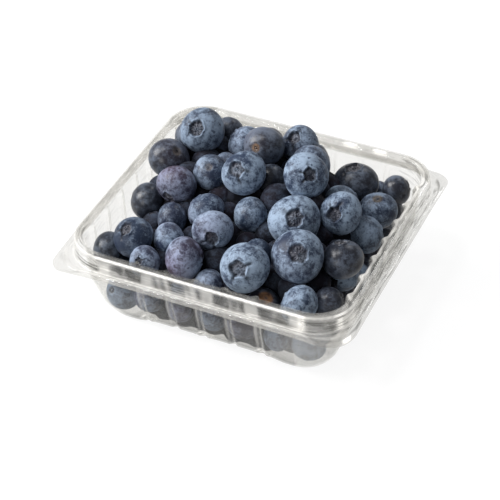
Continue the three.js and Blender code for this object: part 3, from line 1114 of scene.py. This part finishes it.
# the fields of Berry, in order, for the berries that show from above
TOP_BERRIES = [
    # left side, front to back
    (-43, -36, 26, 13, 20, -20, D, 0.05, 0.0, 0.4),
    (-34, -33, 32, 15.5, -117, 61, S, -0.30, 0.0, 0.65, 1.4),
    (-26, -40, 28.5, 12, -93, 37, P, -0.03, 0.3, 0.1, 1.7),
    (-41, -8, 29, 15, 20, -10, D, -0.15, 0.05, 0.4),
    (-26.5, -16.5, 31, 13, 30, -5, S, -0.13, 0.2, 0.4),
    (-22.5, -27.5, 30.5, 13.5, 25, 0, P, 0.0, 0.3, 0.4),
    (-30, -5, 38, 15.5, -92, -17, S, 0.05, 0.8, 0.6, 1.1),
    (-42, 11, 36, 16.5, 163, -53, D, 0.08, 0.35, 0.5, 1.0, 0.45, 1.4),
    (-41, 29, 35, 13, 170, 0, D, 0.15, 0.1, 0.4),
    (-33, 24, 43, 18, -89, 38, S, 0.18, 0.0, 0.75, 1.3),
    (-27.5, 36.5, 36, 13, 80, 20, D, 0.15, 0.1, 0.4),
    # middle, front to back
    (-12, -36.5, 32, 16, 20, 5, P, 0.04, 0.9, 0.4),
    (-1, -39.5, 25, 13, 24, 0, S, -0.10, 0.2, 0.4),
    (-7, -23, 36.5, 15.5, -66, 10, P, 0.22, 0.4, 0.8, 1.4),
    (-15, -11, 34, 15, 160, 30, P, -0.19, 0.5, 0.4),
    (1, -7.5, 35, 14.5, 24, -5, S, 0.10, 0.0, 0.4),
    (-20.5, 4.5, 40, 14, 101, -56, S, -0.08, 0.1, 0.5, 1.0, 0.4, 1.3),
    (-18, 13.5, 37, 12, 30, 20, S, -0.10, 0.1, 0.4),
    (-6.5, 3.5, 44.5, 17, -101, 45, P, 0.08, 0.0, 1.0, 1.7),
    (0, 13, 36, 14, 0, 0, D, -0.05, 0.0, 0.4),
    (-17, 28, 39, 14.5, 170, 25, P, 0.05, 0.2, 0.4),
    (-11, 38.5, 33, 14, 20, 10, D, 0.0, 0.1, 0.4),
    (7, 38.5, 31, 14, 30, -10, D, 0.0, 0.1, 0.4),
    (-6, 20.5, 45.5, 16, 83, -27, D, 0.32, 0.2, 0.6, 1.0, 0.95, 1.25),
    (4, 32, 42, 15, -105, 54, S, 0.05, 0.1, 0.9, 2.0),
    (13, 21, 42.5, 15.5, 60, 15, S, 0.12, 0.1, 0.4),
    (17, 6, 48.5, 17.5, -53, 39, P, 0.02, 0.0, 0.45, 1.7),
    # right side, front to back
    (20, -39, 23, 13, 139, -67, D, 0.0, 0.2, 0.4, 1.0, 1.0, 2.6),
    (34, -39.5, 28, 15, -173, 18, P, 0.15, 0.0, 0.12, 1.6),
    (42, -31, 25, 13, 30, 20, D, 0.0, 0.1, 0.4),
    (12, -37, 36, 18.5, -91, 31, P, 0.15, 0.0, 0.9, 1.8),
    (11, -23, 30.5, 13, 30, 10, S, -0.25, 0.0, 0.4),
    (27.5, -26, 38, 19.5, -63, 45, P, 0.02, 0.1, 0.95, 0.6),
    (19, -9, 39, 20, -64, 45, P, 0.19, 0.0, 0.75, 1.1),
    (40, -13.5, 25, 14, 30, 0, S, 0.15, 0.0, 0.4),
    (41.5, -17.3, 34.6, 15.4, 140, 70, D, -0.02, 0.05, 0.5),
    (33, 1, 40, 16.5, -98, 29, P, 0.08, 0.0, 0.8, 1.9),
    (43, 5, 30, 14.5, 30, 5, S, 0.25, 0.0, 0.5),
    (28.5, 13.5, 34, 15, 45, 10, S, 0.15, 0.0, 0.4),
    (42, 18, 32, 15, 83, -80, S, 0.02, 0.05, 0.6, 1.0, 0.85, 1.6),
    (46, 30, 22, 13, 0, 0, D, 0.0, 0.0, 0.4),
    (28, 29, 33, 17.5, 177, 83, D, -0.05, 0.05, 0.8, 1.1),
    (43, 32.5, 32, 12, 30, 20, D, 0.05, 0.1, 0.4),
]

# the same for those that show through the front wall
FRONT_BERRIES = [
    (-39.6, -39.2, 7.6, 14.2, 60, -30, S, 0.20, 0.1, 0.4),
    (-26.4, -40.0, 8.9, 12.6, -120, -40, P, 0.0, 0.5, 0.5),
    (-14.0, -40.0, 9.0, 12.8, 40, 10, P, -0.05, 0.6, 0.4),
    (-1.3, -40.0, 9.2, 13.2, 60, 20, P, -0.10, 0.2, 0.4),
    (11.8, -40.0, 9.2, 13.2, -75, -25, P, 0.0, 0.9, 0.6),
    (24.8, -40.0, 9.0, 12.8, 20, 0, P, 0.1, 0.4, 0.4),
    (36.5, -36.0, 7.6, 13.0, -85, -20, P, 0.35, 0.1, 0.5),
    (-37.0, -36.5, 19.0, 12.5, 30, 0, D, 0.0, 0.1, 0.4),
]

# x, y, z and diameter of a place between the berries that stays open
OPEN_PLACES = [(16.0, 33.0, 36.0, 16.0), (17.0, 34.0, 30.0, 12.0)]

# the golden ratio less 1
GOLDEN = 0.618034


def scatter(index: int) -> float:
    """An even scatter of numbers from 0 to 1: the fractions of the golden ratio's multiples."""
    return (index * GOLDEN) % 1


def fits(x: float, y: float, z: float, diameter: float, others: list[Berry], spacing: float) -> bool:
    """Whether a berry is further from each of the others than a share of touching.

    Args:
        x: the centre's x.
        y: the centre's y.
        z: the centre's height.
        diameter: the berry's diameter.
        others: the berries already placed.
        spacing: the least distance, as a share of touching.

    Returns:
        True if it fits.
    """
    return all(
        math.dist((x, y, z), (other.x, other.y, other.z)) > spacing * (other.diameter + diameter) / 2
        for other in others
    )


@dataclass(frozen=True)
class Crown:
    """A batch's crowns: arrays of berries by rows by columns, or that go with them.

    u is the distance from the pole as a share of the ring, five the angle that turns five times
    round it, and the rest are the shares of the lip, floor, folds, wrinkles and style's dot.
    """

    u: np.ndarray
    five: np.ndarray
    lip: np.ndarray
    sunk: np.ndarray
    fold: np.ndarray
    wrinkle: np.ndarray
    style: np.ndarray


@dataclass
class BerryBatch:
    """Berries with one finish, worked out together and joined in one mesh.

    In a berry's own frame, theta runs from the crown's pole to the stem's and phi goes round. The
    frame is then turned so that the crown's axis points the berry's way. Each berry has its random
    numbers: s1, s2, s3 and lean are the phases of its waves, squash is its height over its width,
    turn and lobed are where the crown's lobes lie and how deep they are, and sink is how deep its
    floor lies.
    """

    name: str
    berries: list[Berry]
    rows: int
    columns: int
    seed: int
    swell: float = 0.985
    crown_end: float = 0.62
    crown_rows: float = 0.42
    theta: np.ndarray = field(init=False)
    phi: np.ndarray = field(init=False)
    s1: np.ndarray = field(init=False)
    s2: np.ndarray = field(init=False)
    s3: np.ndarray = field(init=False)
    lean: np.ndarray = field(init=False)
    squash: np.ndarray = field(init=False)
    turn: np.ndarray = field(init=False)
    lobed: np.ndarray = field(init=False)
    sink: np.ndarray = field(init=False)

    def __post_init__(self) -> None:
        """Lays out theta and phi, closer together at the crown, and draws the random shapes."""
        near = round(self.rows * self.crown_rows)
        crown = np.linspace(0.0, self.crown_end, near + 1)[1:]
        rest = np.linspace(self.crown_end, math.pi, self.rows - near + 2)[1:-1]
        self.theta = np.concatenate([crown, rest])[None, :, None]
        self.phi = np.linspace(0.0, 2 * math.pi, self.columns, endpoint=False)[None, None, :]
        rng = np.random.default_rng(self.seed)
        angle = (0.0, 6.3)
        ranges = (angle, angle, angle, angle, (0.84, 0.94), angle, (0.02, 0.065), (0.075, 0.115))
        draws = [rng.uniform(low, high, (len(self.berries), 1, 1)) for low, high in ranges]
        self.s1, self.s2, self.s3, self.lean, self.squash, self.turn, self.lobed, self.sink = draws

    def each(self, name: str) -> np.ndarray:
        """One field of the berries, shaped to go with the grid."""
        return np.array([getattr(berry, name) for berry in self.berries])[:, None, None]

    def body(self) -> np.ndarray:
        """The distance from the centre: 1 with three low waves on it."""
        theta, phi = self.theta, self.phi
        body = 1 + 0.022 * np.sin(2 * phi + self.s1) * np.sin(theta)
        body = body + 0.016 * np.cos(3 * phi + self.s2) * np.sin(theta) ** 2
        return body + 0.014 * np.cos(2 * theta + self.s3) - 0.02

    def crowns(self) -> Crown:
        """The crowns' parts.

        With u = theta / ring(phi), where the ring is a loose five-lobed circle, the lip is
        exp(-((u - 1.07) / 0.15)^2), torn by two waves round it, and the floor is a smooth step from
        u = 1.02 to 0.66. The folds are narrow peaks five times round, which fade away from the lip.

        Returns:
            The crowns.
        """
        phi, s1, s2, s3, lean = self.phi, self.s1, self.s2, self.s3, self.lean
        five = 5 * (phi - self.turn) + 0.7 * np.sin(phi + s1) + 0.5 * np.sin(2 * phi + s2)
        loose = 0.09 * np.sin(phi + lean) + 0.06 * np.sin(2 * phi + s3) + 0.035 * np.sin(7 * phi + s1)
        u = self.theta / ((0.24 + 0.16 * self.each("crown")) * (1 + self.lobed * np.cos(five) + loose))
        torn = np.clip(0.62 + 0.45 * np.sin(2 * phi + lean) + 0.25 * np.sin(5 * phi + s3), 0, 1)
        sunk = np.clip((1.02 - u) / 0.36, 0, 1)
        sunk = sunk * sunk * (3 - 2 * sunk)
        fold = (0.5 + 0.5 * np.cos(five)) ** 7 * np.exp(-(((u - 1.1) / 0.5) ** 2))
        return Crown(
            u=u,
            five=five,
            lip=np.exp(-(((u - 1.07) / 0.15) ** 2)) * (0.35 + 0.65 * torn),
            sunk=sunk,
            fold=fold * np.clip(0.55 + 0.6 * np.sin(phi + s3) + 0.4 * np.sin(3 * phi + s1), 0.1, 1),
            wrinkle=np.sin(9 * phi + s2 + 4 * u) * np.sin(9 * u + s3) * np.sin(4 * phi + s3) * sunk,
            style=np.exp(-((self.theta / 0.045) ** 2)),
        )

    def stems(self) -> np.ndarray:
        """The stem's dimple: 1 at its pole, and a parabola down to 0 at 0.2 times the scar's width."""
        return np.clip(1 - ((math.pi - self.theta) / (0.2 * self.each("scar"))) ** 2, 0, 1)

    def local_points(self, crown: Crown, stem: np.ndarray) -> np.ndarray:
        """Points of a berry of radius 1, in its own frame.

        The body is squashed along its axis. At one end the lip stands up, the floor is sunk but
        higher in its middle, and the folds cut in. At the other the dimple is pushed in.

        Args:
            crown: the crowns.
            stem: the stems' dimples.

        Returns:
            Berries by points by 3, with the crown's and the stem's pole last.
        """
        body, phi, deep = self.body(), self.phi, self.each("depth")
        across = np.sin(self.theta) * body + 0.012 * crown.lip
        depth = self.sink * deep * (0.75 + 0.4 * self.each("crown"))
        height = np.cos(self.theta) * self.squash * body + 0.042 * crown.lip - depth * crown.sunk
        height = height - 0.055 * deep * crown.fold + 0.045 * crown.wrinkle + 0.03 * crown.style
        height = height + 0.03 * (1 - crown.u**2) * crown.sunk + 0.07 * stem**0.7
        local = np.stack([across * np.cos(phi), across * np.sin(phi), height + 0 * phi], -1)
        poles = np.zeros((len(self.berries), 2, 3))
        poles[:, :, 2] = height[:, [0, -1], 0]
        return np.concatenate([local.reshape(len(self.berries), -1, 3), poles], 1)

    def placed_points(self, local: np.ndarray) -> np.ndarray:
        """Points in the punnet: each berry's own frame turned, scaled and moved.

        Args:
            local: points of berries of radius 1.

        Returns:
            All the points, in millimetres.
        """
        azimuth, elevation = np.radians(self.each("azimuth")), np.radians(self.each("elevation"))
        level = np.cos(elevation)
        axis = np.concatenate([np.cos(azimuth) * level, np.sin(azimuth) * level, np.sin(elevation)], -1)
        first = np.concatenate([-np.sin(azimuth), np.cos(azimuth), 0 * azimuth], -1)
        basis = np.concatenate([first, np.cross(axis, first), axis], 1)
        centre = np.concatenate([self.each("x"), self.each("y"), self.each("z")], -1)
        points = (local @ basis) * (self.each("diameter") / 2 * self.swell) + centre
        return points.reshape(-1, 3)

    def marks(self, crown: Crown, stem: np.ndarray) -> dict[str, np.ndarray]:
        """What the skin reads at each vertex.

        The crease is painted shade: a ring-shaped moat inside the lip, deeper on one arc of it, with
        the folds and wrinkles. The scar is a ring round the stem's dimple, and the rubbed side, which also
        carries painted shade, and lilac are broad waves over a berry.

        Args:
            crown: the crowns.
            stem: the stems' dimples.

        Returns:
            The marks by name.
        """
        theta, phi = self.theta, self.phi
        # the moat's painted shade is deeper on one arc of the ring
        shaded_side = np.clip(np.sin(phi + self.s2) + 0.6 * np.cos(crown.five), 0, 1)
        moat = np.exp(-(((crown.u - 0.80) / 0.13) ** 2)) * (0.3 + 0.7 * shaded_side)
        crease = moat + 0.8 * crown.fold * self.each("depth") + 0.5 * np.clip(crown.wrinkle, 0, 1)
        wide = self.each("scar")
        ring = np.exp(-(((math.pi - theta - 0.11 * wide) / (0.05 * wide)) ** 2))
        # the rubbed side: rubbed bloom and painted shade
        wear_and_shade = 0.05 + 0.5 * np.sin(phi + self.s1) * np.sin(theta + self.s3 * 0.3)
        blush = 0.5 + 0.5 * np.sin(phi + self.s2) * np.cos(theta + self.s1)
        marks = {
            "pit": crown.sunk * (1 - 0.7 * crown.style),
            "rim": crown.lip,
            "crease": np.clip(crease - crown.style, 0, 1),
            "scar": np.clip(stem * 0.5 + ring, 0, 1),
            "bare": self.each("bare"),
            "wear_and_shade": np.clip(wear_and_shade, 0, 1),
            "own": self.each("own"),
            "lilac": self.each("lilac") * blush,
        }
        return {key: self.with_poles(values) for key, values in marks.items()}

    def with_poles(self, values: np.ndarray) -> np.ndarray:
        """A mark at each vertex of each berry, with the poles taken from the nearest rows."""
        count = len(self.berries)
        full = np.broadcast_to(values, (count, self.rows, self.columns)).reshape(count, -1)
        return np.concatenate([full, full[:, :1], full[:, -1:]], 1)

    def mesh(self) -> bpy.types.Mesh:
        """The joined mesh, with the marks that the skin reads."""
        crown, stem = self.crowns(), self.stems()
        points = self.placed_points(self.local_points(crown, stem))
        start = (np.arange(len(self.berries)) * (self.rows * self.columns + 2))[:, None, None]
        quads = (grid_faces(self.rows, self.columns)[None] + start).reshape(-1, 4)
        triangles = (cap_faces(self.rows, self.columns)[None] + start).reshape(-1, 3)
        return smooth_mesh(self.name, points, quads, triangles, self.marks(crown, stem))


@dataclass
class Heap:
    """The berries: those on top, those against the walls and base, and a dark core under them that
    paints the shade deep in the heap.
    """

    tray: Tray
    gap: float = 0.35
    rib_reach: float = 32.0
    corner_least: float = 0.5
    core_bottom: float = 2.9
    core_rim: float = 28.0
    core_toe_inset: float = 1.9
    core_foot_inset: float = 6.5
    core_inset: float = 9.5
    core_sink: float = 0.22
    core_blend: float = 12.0
    core_drop: float = 0.5
    core_edge: float = 2.5
    core_levels: int = 9
    core_rows: tuple[int, int, int] = (36, 16, 12)
    core_columns: int = 240
    toe_bump: float = 1.8
    # the height and the diameter of each layer against the walls
    wall_layers: tuple[tuple[float, float], ...] = (
        (10.2, 14.2), (21.0, 14.2), (17.5, 12.6), (14.0, 11.4), (23.5, 11.4), (10.0, 10.4), (19.0, 10.4)
    )
    place_step: float = 1.5
    floor_diameter: float = 14.2
    floor_grid: int = 4
    floor_pitch: float = 14.3
    size_spread: float = 1.6
    min_spacing: float = 0.88
    # the drop below the core's top, the least diameter and the spacing of each pass of fillers
    filler_passes: tuple[tuple[float, float, float], ...] = (
        (1.0, 13.0, 0.80), (4.0, 11.5, 0.80), (2.5, 10.0, 0.70)
    )
    filler_reach: tuple[float, float] = (40.0, 38.0)
    filler_step: float = 2.0
    filler_spread: float = 2.0
    near_grid: tuple[int, int] = (66, 64)
    far_grid: tuple[int, int] = (30, 36)
    lower_seed: int = 10
    between_seed: int = 20
    shade: DeepShade = field(default_factory=DeepShade)

    def clear_inset(self, z: float, radius: float) -> float:
        """How far in from the ledge's edge a ball's centre stays to clear each lean of the wall.

        Args:
            z: the centre's height.
            radius: the ball's radius and its clearance.

        Returns:
            The inset in millimetres.
        """
        points = self.tray.wall_points()
        insets = []
        for low, high in zip(points, points[1:]):
            slope = (low[0] - high[0]) / (high[1] - low[1])
            insets.append(low[0] - slope * (z - low[1]) + radius * math.hypot(1.0, slope))
        return max(insets)

    def inside(self, x: float, y: float, z: float, diameter: float) -> tuple[float, float]:
        """A berry's x and y after it is moved clear of the walls, ribs and corners.

        Args:
            x: the centre's x.
            y: the centre's y.
            z: the centre's height.
            diameter: the berry's diameter.

        Returns:
            The x and y that it takes.
        """
        inset = self.clear_inset(z, diameter / 2 + self.gap)
        half_x, half_y = self.tray.length / 2 - inset, self.tray.width / 2 - inset
        corner = max(self.tray.base_radius - (inset - self.clear_inset(z, 0.0)), self.corner_least)
        beyond_x = max(abs(x) - (half_x - corner), 0.0)
        beyond_y = max(abs(y) - (half_y - corner), 0.0)
        scale = min(1.0, corner / max(math.hypot(beyond_x, beyond_y), corner))
        new_x = min(abs(x), half_x - corner) + beyond_x * scale
        new_y = min(abs(y), half_y - corner) + beyond_y * scale
        new_x = min(new_x, half_x - self.tray.rib_depth * (new_y < self.rib_reach))
        new_y = min(new_y, half_y - self.tray.rib_depth * (new_x < self.rib_reach))
        return math.copysign(new_x, x), math.copysign(new_y, y)

    def set_in(self, table: list[tuple[Any, ...]]) -> list[Berry]:
        """Berries from a table, moved clear of the walls.

        Args:
            table: rows of a berry's fields.

        Returns:
            The berries.
        """
        berries = []
        for x, y, z, diameter, *look in table:
            x, y = self.inside(x, y, z, diameter)
            berries.append(Berry(x, y, z, diameter, *look))
        return berries

    def lower(self, placed: list[Berry]) -> list[Berry]:
        """Berries against the wall and on the base, wherever one fits.

        Args:
            placed: the berries already there.

        Returns:
            The new berries.
        """
        berries: list[Berry] = []

        def add(x: float, y: float, z: float, about: float) -> None:
            """Adds a berry of about a given size if it doesn't crowd the others."""
            index = len(berries)
            diameter = about + self.size_spread * (scatter(index + 1) - 0.5)
            z = max(z, self.tray.sheet + self.tray.base_lift + self.gap + diameter / 2)
            x, y = self.inside(x, y, z, diameter)
            if fits(x, y, z, diameter, [*placed, *berries], self.min_spacing):
                azimuth = 360 * (scatter(3 * index + 1) - 0.5)
                elevation = 120 * (scatter(5 * index + 2) - 0.5)
                bloom, own = (S, D, P)[index % 3], 0.25 * (scatter(7 * index) - 0.5)
                berries.append(Berry(x, y, z, diameter, azimuth, elevation, bloom, own, lilac=0.3))

        for z, about in self.wall_layers:
            inset = self.clear_inset(z, about / 2 + self.gap) + self.tray.rib_depth
            halves = (self.tray.length / 2 - inset, self.tray.width / 2 - inset)
            for side in range(4):
                out = halves[(side + 1) % 2]
                along = -halves[side % 2]
                while along < halves[side % 2]:
                    add(*quarter_turned(np.array([along, -out, z]), side), about)
                    along += self.place_step
        steps = (np.arange(self.floor_grid) - (self.floor_grid - 1) / 2) * self.floor_pitch
        for x in steps:
            for y in steps:
                add(x, y, 0.0, self.floor_diameter)
        return berries

    def fillers(self, placed: list[Berry], core: np.ndarray) -> list[Berry]:
        """Berries that peep through between the top ones, sunk in the core's top.

        Args:
            placed: the berries already there.
            core: the x, y and height of each berry that shapes the core's top.

        Returns:
            The new berries.
        """
        berries: list[Berry] = []
        placed = [*placed, *(Berry(*place, 0.0, 0.0) for place in OPEN_PLACES)]
        places = [np.arange(-reach, reach + 0.1, self.filler_step) for reach in self.filler_reach]
        for drop, least, spacing in self.filler_passes:
            for x, y in product(*places):
                index = len(berries)
                diameter = least + self.filler_spread * scatter(index)
                z = float(self.core_top(np.array([x]), np.array([y]), core)[0]) - drop
                px, py = self.inside(x, y, z, diameter)
                if fits(px, py, z, diameter, [*placed, *berries], spacing):
                    azimuth, elevation = (index * 137.5) % 360 - 180, (index * 53.0) % 140 - 50
                    bloom = (D, S, D)[index % 3]
                    berries.append(Berry(px, py, z, diameter, azimuth, elevation, bloom, -0.08, lilac=0.2))
        return berries

    def core_top(self, x: np.ndarray, y: np.ndarray, core: np.ndarray) -> np.ndarray:
        """Height of the core: a distance-weighted mean of heights under the top berries.

        Args:
            x: places along X.
            y: places along Y.
            core: the x, y and height of each top berry.

        Returns:
            The heights.
        """
        away = (core[:, 0] - x[..., None]) ** 2 + (core[:, 1] - y[..., None]) ** 2
        weight = 1.0 / (away + self.core_blend) ** 2
        return (weight * core[:, 2]).sum(-1) / weight.sum(-1)

    def core_mesh(self, core: np.ndarray) -> bpy.types.Mesh:
        """A closed lumpy body under the berries.

        Rings go from a pole on top, out along a rounded square, down its side and in along the
        bottom. A ring's outline is the fourth-power circle |x|^4 + |y|^4 = 1, scaled. The side leans
        in with the wall, and stays behind the outer faces of the berries there. Its toe has bumps as
        wide as a berry, the sum of two rectified waves round it.

        Args:
            core: the x, y and height of each top berry.

        Returns:
            The mesh.
        """
        angle = np.linspace(0.0, 2 * math.pi, self.core_columns, endpoint=False)
        square = 1.0 / (np.abs(np.cos(angle)) ** 4 + np.abs(np.sin(angle)) ** 4) ** 0.25
        over, down, under = self.core_rows
        outward, inward = np.linspace(0.02, 1.0, over), np.linspace(1.0, 0.05, under)
        downward = np.linspace(0.0, 1.0, down + 1)[1:]
        spread = np.concatenate([outward, np.ones(down), inward])[:, None]
        fall = np.concatenate([np.zeros(over), downward, np.ones(under)])[:, None]

        share = np.linspace(0.0, 1.0, self.core_levels)
        level = self.core_bottom + share * (self.core_rim - self.core_bottom)
        clearance = self.core_foot_inset + share * (self.core_inset - self.core_foot_inset)
        clearance[0] = self.core_toe_inset
        insets = [self.clear_inset(z, radius) for z, radius in zip(level, clearance)]
        inset = np.interp(self.core_rim + (self.core_bottom - self.core_rim) * fall, level, insets)

        lump = 0.3 * np.sin(9 * angle) + 0.2 * np.sin(23 * angle + 9 * fall)
        bump = np.abs(np.sin(13 * angle + 0.4)) + 0.6 * np.abs(np.sin(20 * angle + 1.0)) - 1.3
        lump = lump + self.toe_bump * bump * np.clip(fall * 6.0 - 5.0, 0, 1)
        x = spread * square * np.cos(angle) * (self.tray.length / 2 - inset + lump)
        y = spread * square * np.sin(angle) * (self.tray.width / 2 - inset + lump)
        top = self.core_top(x, y, core) - self.core_drop + 0.7 * np.sin(x * 0.9) * np.sin(y * 0.8)
        top = top - self.core_edge * np.clip((spread - 0.8) / 0.2, 0, 1)
        z = top * (1 - fall) + self.core_bottom * fall
        poles = [[0.0, 0.0, z[0].mean()], [0.0, 0.0, self.core_bottom]]
        points = np.concatenate([np.stack([x, y, z], -1).reshape(-1, 3), poles])
        return smooth_mesh("heap_core", points, grid_faces(*x.shape)[:, ::-1], cap_faces(*x.shape))

    def build(self) -> None:
        """Makes the heap's pieces: the core, the berries between, and the rest by finish."""
        top, low = self.set_in(TOP_BERRIES), self.set_in(FRONT_BERRIES)
        core = np.array([[berry.x, berry.y, berry.z - self.core_sink * berry.diameter] for berry in top])
        low += self.lower([*top, *low])
        between = self.fillers([*top, *low], core)
        # the core and the darker berries between the top ones are painted shade in the heap's gaps
        add_piece(self.core_mesh(core), self.shade.material(), "berries")
        batch = BerryBatch("berries_between", between, *self.far_grid, self.between_seed)
        add_piece(batch.mesh(), SHADED_SKIN.material(), "berries")
        for seed, (bloom, skin) in enumerate(SKINS.items()):
            finish, name = skin.material(), f"berries_{bloom.value}"
            shown = [berry for berry in top if berry.bloom is bloom]
            hidden = [berry for berry in low if berry.bloom is bloom]
            for batch in (
                BerryBatch(name, shown, *self.near_grid, seed),
                BerryBatch(f"{name}_lower", hidden, *self.far_grid, self.lower_seed + seed),
            ):
                add_piece(batch.mesh(), finish, "berries")
        LOG.info("%d berries on top, %d lower, %d between", len(top), len(low), len(between))


# ---------------------------------------------------------------- the setting


@dataclass(frozen=True)
class Lamp:
    """A soft square light that points at the punnet: its place and side in millimetres, and watts."""

    name: str
    place: tuple[float, float, float]
    side: float
    watts: float


@dataclass
class Studio:
    """A pale glowing floor that lights nothing but what it shines in, soft lights and the camera."""

    aim: tuple[float, float, float] = (-2.47, 0.0, 12.13)
    distance: float = 657.5
    azimuth: float = 24.05
    elevation: float = 38.67
    lens: float = 125.62
    floor_colour: Colour = (0.15, 0.15, 0.15)
    floor_glow: float = 0.88
    sky_colour: Colour = (0.95, 0.97, 1.0)
    sky_strength: float = 0.30
    floor_radius: float = 2500.0
    floor_drop: float = 0.05
    lamps: tuple[Lamp, ...] = (
        Lamp("key", (-1330.0, -400.0, 1000.0), 900.0, 40.0),
        Lamp("glint", (-500.0, -120.0, 1400.0), 240.0, 6.0),
        Lamp("front", (-400.0, -1500.0, 600.0), 600.0, 7.0),
        Lamp("back", (200.0, 1400.0, 1200.0), 450.0, 4.0),
    )

    def floor(self) -> None:
        """A wide plain disc just under the feet."""
        angle = np.linspace(0.0, 2 * math.pi, 96, endpoint=False)
        ring = np.stack([np.cos(angle), np.sin(angle), 0 * angle], -1) * self.floor_radius
        points = np.concatenate([ring, np.zeros((1, 3))]) - [0.0, 0.0, self.floor_drop]
        triangles = fan_faces(len(ring), 0, len(ring), False)
        mesh = smooth_mesh("floor", points, np.zeros((0, 4), int), triangles)
        finish = NodeFinish("pale floor")
        look = {
            "Base Color": self.floor_colour,
            "Roughness": 0.9,
            "Emission Color": (1.0, 1.0, 1.0),
            "Emission Strength": self.floor_glow,
        }
        mesh.materials.append(finish.show(finish.shader("ShaderNodeBsdfPrincipled", look)))
        floor = bpy.data.objects.new("floor", mesh)
        bpy.context.scene.collection.objects.link(floor)
        floor.visible_diffuse = False

    def light(self, lamp: Lamp) -> None:
        """Adds a lamp to the scene."""
        data = bpy.data.lights.new(lamp.name, "AREA")
        data.shape, data.size, data.energy = "SQUARE", lamp.side * MM, lamp.watts
        light = bpy.data.objects.new(lamp.name, data)
        light.location = Vector(lamp.place) * MM
        light.rotation_euler = (-light.location).to_track_quat("-Z", "Y").to_euler()
        bpy.context.scene.collection.objects.link(light)

    def camera(self) -> None:
        """The camera, turned to the aim from its azimuth and elevation."""
        data = bpy.data.cameras.new("camera")
        data.lens, data.sensor_width = self.lens, 36.0
        data.clip_start, data.clip_end = 0.01, 20.0
        azimuth, elevation = math.radians(self.azimuth), math.radians(self.elevation)
        back = Vector((
            math.sin(azimuth) * math.cos(elevation),
            -math.cos(azimuth) * math.cos(elevation),
            math.sin(elevation),
        ))
        camera = bpy.data.objects.new("camera", data)
        camera.location = (Vector(self.aim) + back * self.distance) * MM
        camera.rotation_euler = (-back).to_track_quat("-Z", "Y").to_euler()
        bpy.context.scene.collection.objects.link(camera)
        bpy.context.scene.camera = camera

    def build(self) -> None:
        """Sets the floor, the sky, the lights and the camera."""
        self.floor()
        world = bpy.data.worlds.new("studio")
        world.use_nodes = True
        sky = world.node_tree.nodes["Background"]
        sky.inputs["Color"].default_value = (*self.sky_colour, 1.0)
        sky.inputs["Strength"].default_value = self.sky_strength
        bpy.context.scene.world = world
        bpy.context.scene.view_settings.view_transform = "Standard"
        for lamp in self.lamps:
            self.light(lamp)
        self.camera()


def main() -> None:
    """Builds the studio, the tray and the heap."""
    logging.basicConfig(level=logging.INFO, format="%(name)s %(message)s")
    Studio().build()
    tray = Tray.from_frame()
    tray.build()
    Heap(tray).build()


if __name__ == "__main__":
    main()
